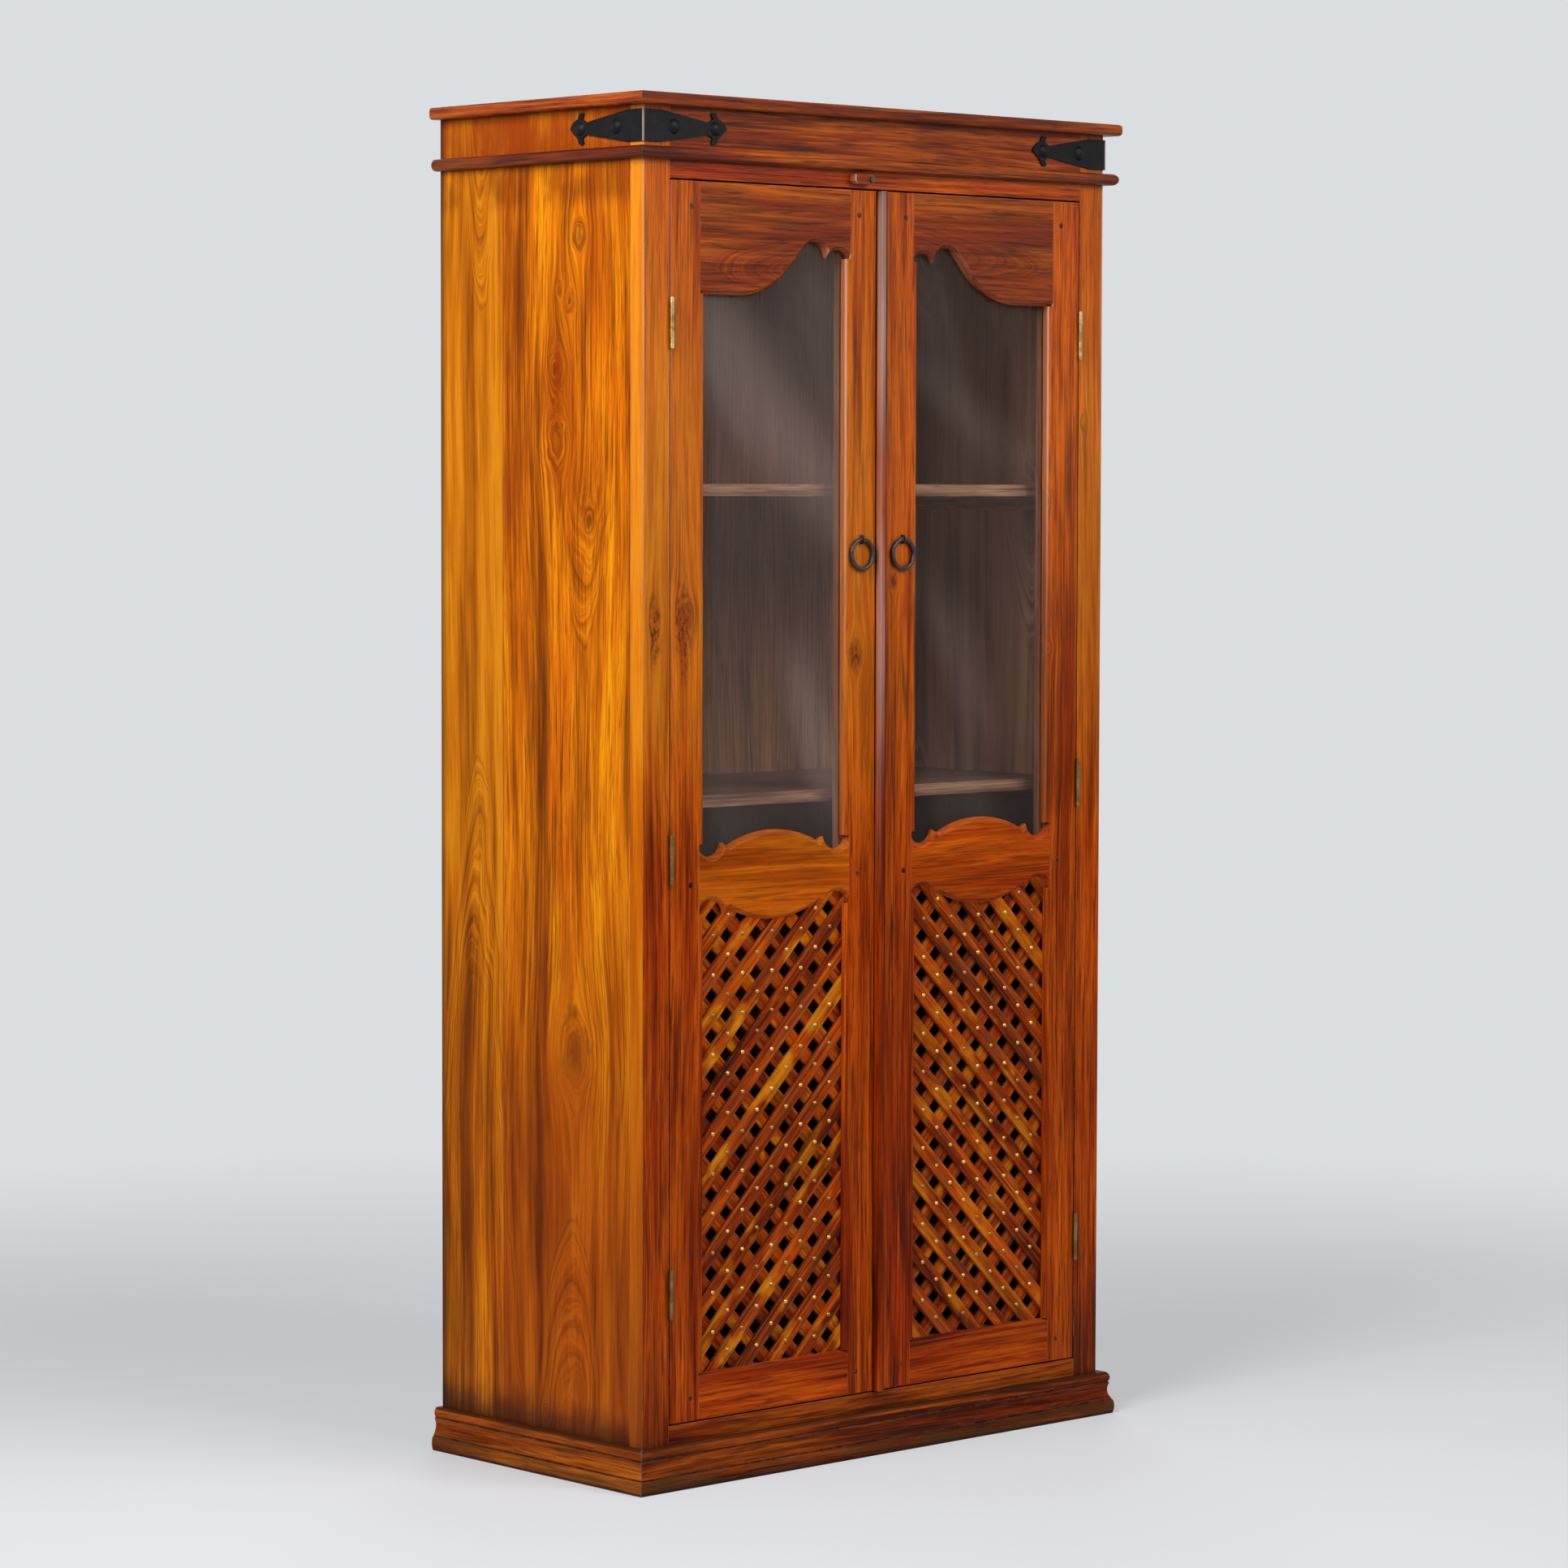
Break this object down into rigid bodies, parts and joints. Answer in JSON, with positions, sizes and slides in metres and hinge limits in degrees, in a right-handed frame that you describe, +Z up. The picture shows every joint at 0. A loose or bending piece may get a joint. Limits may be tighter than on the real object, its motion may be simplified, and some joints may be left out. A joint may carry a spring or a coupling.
{
  "type": "display cabinet",
  "caption": "Tall free-standing wooden display cabinet with hinged doors glazed above and crossed lattice below, ring pulls, a turn button and iron corner straps.",
  "frame": {"origin": "on the floor, under the middle of the whole outline", "axes": "+Z up, -Y out of the doors' front, +X to the right seen from the front"},
  "size_m": [0.883, 0.429, 1.8],
  "materials": {
    "front_wood": "waxed, semi-gloss",
    "side_wood": "waxed, semi-gloss",
    "dark_wood": "waxed, semi-gloss",
    "lattice_wood": "waxed, satin",
    "inner_wood": "matt",
    "glass": "clear, polished",
    "black_iron": "blackened, hammered",
    "brass": "aged",
    "steel": "dull"
  },
  "bodies": {
    "carcass": {"back_boards": "inner_wood", "bottom_board": "inner_wood", "button_screw": "steel", "cornice_front": "front_wood", "cornice_left": "front_wood", "cornice_right": "front_wood", "door_stop": "inner_wood", "frame_bottom_rail": "front_wood", "frame_top_rail": "front_wood", "frieze_rail": "dark_wood", "hinge_pins": "brass", "left_corner_strap": "black_iron", "left_frame_stile": "front_wood", "left_hinge_frame_leaves": "brass", "left_side": "side_wood", "left_strap_nails": "black_iron", "lower_shelf": "inner_wood", "middle_shelf": "inner_wood", "plinth_front": "dark_wood", "plinth_left": "dark_wood", "plinth_right": "dark_wood", "right_corner_strap": "black_iron", "right_frame_stile": "front_wood", "right_hinge_frame_leaves": "brass", "right_side": "side_wood", "right_strap_nails": "black_iron", "shelf_bearers": "inner_wood", "top_board": "front_wood", "upper_shelf": "inner_wood"},
    "left_door": {"left_door_beads": "front_wood", "left_door_bottom_rail": "front_wood", "left_door_glass": "glass", "left_door_hinge_stile": "front_wood", "left_door_lattice_back": "lattice_wood", "left_door_lattice_front": "lattice_wood", "left_door_meeting_stile": "front_wood", "left_door_middle_rail": "front_wood", "left_door_pegs": "front_wood", "left_door_top_rail": "front_wood", "left_hinge_door_leaves": "brass", "left_ring_staple": "black_iron"},
    "right_door": {"right_door_beads": "front_wood", "right_door_bottom_rail": "front_wood", "right_door_glass": "glass", "right_door_hinge_stile": "front_wood", "right_door_lattice_back": "lattice_wood", "right_door_lattice_front": "lattice_wood", "right_door_meeting_bead": "front_wood", "right_door_meeting_stile": "front_wood", "right_door_middle_rail": "front_wood", "right_door_pegs": "front_wood", "right_door_top_rail": "front_wood", "right_hinge_door_leaves": "brass", "right_ring_staple": "black_iron"},
    "left_ring": {"left_ring_pull": "black_iron"},
    "right_ring": {"right_ring_pull": "black_iron"},
    "turn_button": {"turn_button": "front_wood"}
  },
  "joints": [
    {"name": "left_door_hinge", "type": "hinge", "parent": "carcass", "child": "left_door", "pos_m": [-0.3763, -0.1988, 0.9], "axis": [0, 0, -1], "range_deg": [0, 165]},
    {"name": "right_door_hinge", "type": "hinge", "parent": "carcass", "child": "right_door", "pos_m": [0.3763, -0.1988, 0.9], "axis": [0, 0, 1], "range_deg": [0, 165]},
    {"name": "left_ring_hinge", "type": "hinge", "parent": "left_door", "child": "left_ring", "pos_m": [-0.039, -0.1991, 1.229], "axis": [-1, 0, 0], "range_deg": [0, 170]},
    {"name": "right_ring_hinge", "type": "hinge", "parent": "right_door", "child": "right_ring", "pos_m": [0.037, -0.1991, 1.229], "axis": [-1, 0, 0], "range_deg": [0, 170]},
    {"name": "turn_button_pivot", "type": "hinge", "parent": "carcass", "child": "turn_button", "pos_m": [-0.033, -0.2023, 1.7045], "axis": [0, -1, 0], "range_deg": [0, 120]}
  ]
}
